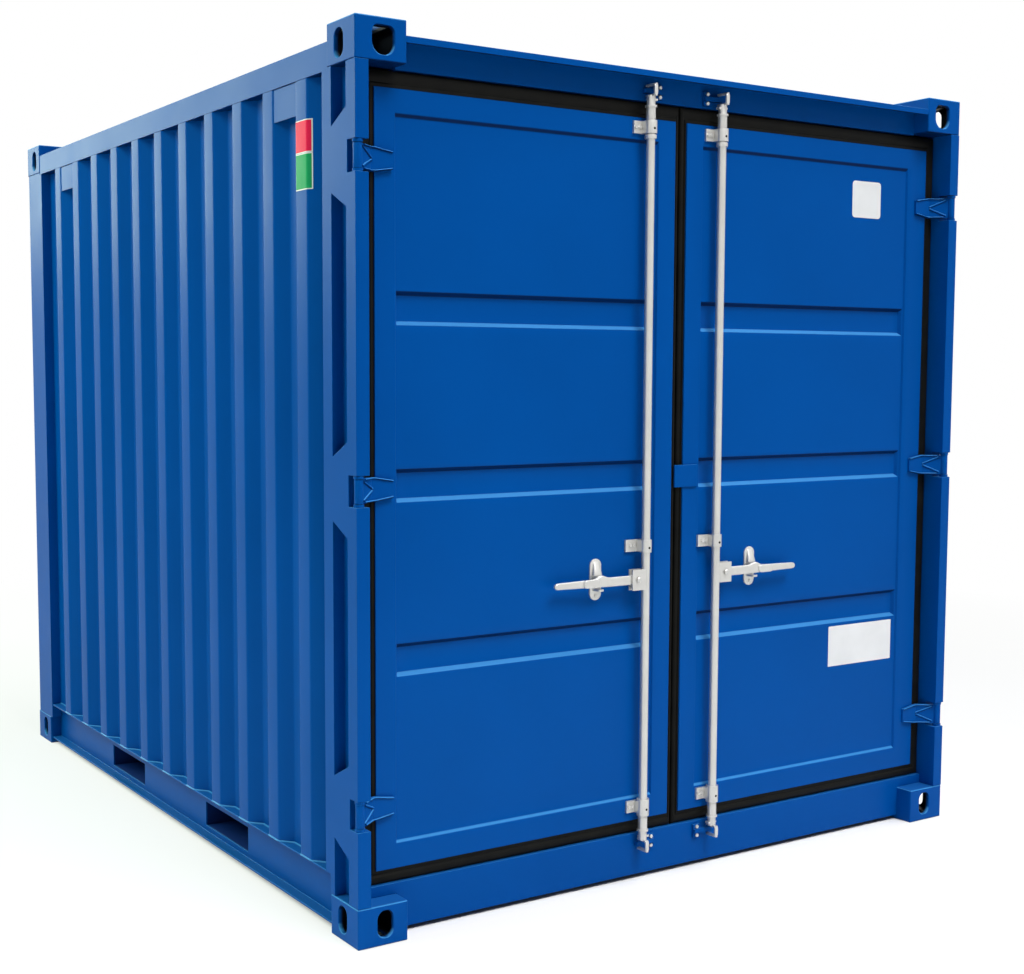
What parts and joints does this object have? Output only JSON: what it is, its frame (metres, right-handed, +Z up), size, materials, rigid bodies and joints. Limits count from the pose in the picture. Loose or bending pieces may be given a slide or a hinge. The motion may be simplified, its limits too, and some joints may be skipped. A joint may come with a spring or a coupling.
{
  "type": "storage container",
  "caption": "Short steel storage container with corrugated walls, pressed double doors, turning lock bars with lever handles, fork pockets and hollow corner castings.",
  "frame": {"origin": "on the ground under the middle of the box", "axes": "+Z up, +Y from the doors to the back wall, +X to the right seen from the doors"},
  "size_m": [2.438, 2.991, 2.591],
  "materials": {
    "blue_paint": "satin blue enamel",
    "zinc": "galvanised",
    "rubber": "matt black",
    "plywood": "coated plywood"
  },
  "bodies": {
    "container": {"bottom_castings": "blue_paint", "top_castings": "blue_paint", "left_door_post": "blue_paint", "right_door_post": "blue_paint", "left_rear_post": "blue_paint", "right_rear_post": "blue_paint", "door_header": "blue_paint", "door_sill": "blue_paint", "rear_top_rail": "blue_paint", "rear_bottom_rail": "blue_paint", "left_top_rail": "blue_paint", "right_top_rail": "blue_paint", "left_bottom_rail": "blue_paint", "right_bottom_rail": "blue_paint", "left_wall": "blue_paint", "right_wall": "blue_paint", "rear_wall": "blue_paint", "roof": "blue_paint", "plywood_floor": "plywood", "floor_beams": "blue_paint", "fork_pocket_plates": "blue_paint", "fork_pocket_webs": "blue_paint", "vent_hoods": "blue_paint", "cam_keepers": "blue_paint", "hinge_pins": "blue_paint"},
    "left_door": {"left_door_sheet": "blue_paint", "left_door_frame": "blue_paint", "left_door_seal": "rubber", "left_hinge_blades": "blue_paint", "left_bar_guides": "zinc", "left_handle_catch": "zinc"},
    "left_bar": {"left_lock_bar": "zinc"},
    "left_lever": {"left_handle": "zinc"},
    "right_door": {"right_door_sheet": "blue_paint", "right_door_frame": "blue_paint", "right_door_seal": "rubber", "right_hinge_blades": "blue_paint", "right_bar_guides": "zinc", "right_handle_catch": "zinc", "right_interlock_plate": "blue_paint"},
    "right_bar": {"right_lock_bar": "zinc"},
    "right_lever": {"right_handle": "zinc"}
  },
  "joints": [
    {"name": "left_door_swing", "type": "hinge", "parent": "container", "child": "left_door", "pos_m": [-1.2035, -1.48, 1.2955], "axis": [0, 0, -1], "range_deg": [0, 255]},
    {"name": "right_door_swing", "type": "hinge", "parent": "container", "child": "right_door", "pos_m": [1.2035, -1.48, 1.2955], "axis": [0, 0, 1], "range_deg": [0, 255]},
    {"name": "left_bar_turn", "type": "hinge", "parent": "left_door", "child": "left_bar", "pos_m": [-0.162, -1.4575, 0.979], "axis": [0, 0, -1], "range_deg": [-90, 0]},
    {"name": "right_bar_turn", "type": "hinge", "parent": "right_door", "child": "right_bar", "pos_m": [0.132, -1.4575, 0.979], "axis": [0, 0, 1], "range_deg": [-90, 0]},
    {"name": "left_handle_lift", "type": "hinge", "parent": "left_bar", "child": "left_lever", "pos_m": [-0.198, -1.4575, 0.979], "axis": [0, -1, 0], "range_deg": [-20, 0]},
    {"name": "right_handle_lift", "type": "hinge", "parent": "right_bar", "child": "right_lever", "pos_m": [0.168, -1.4575, 0.979], "axis": [0, 1, 0], "range_deg": [-20, 0]}
  ]
}
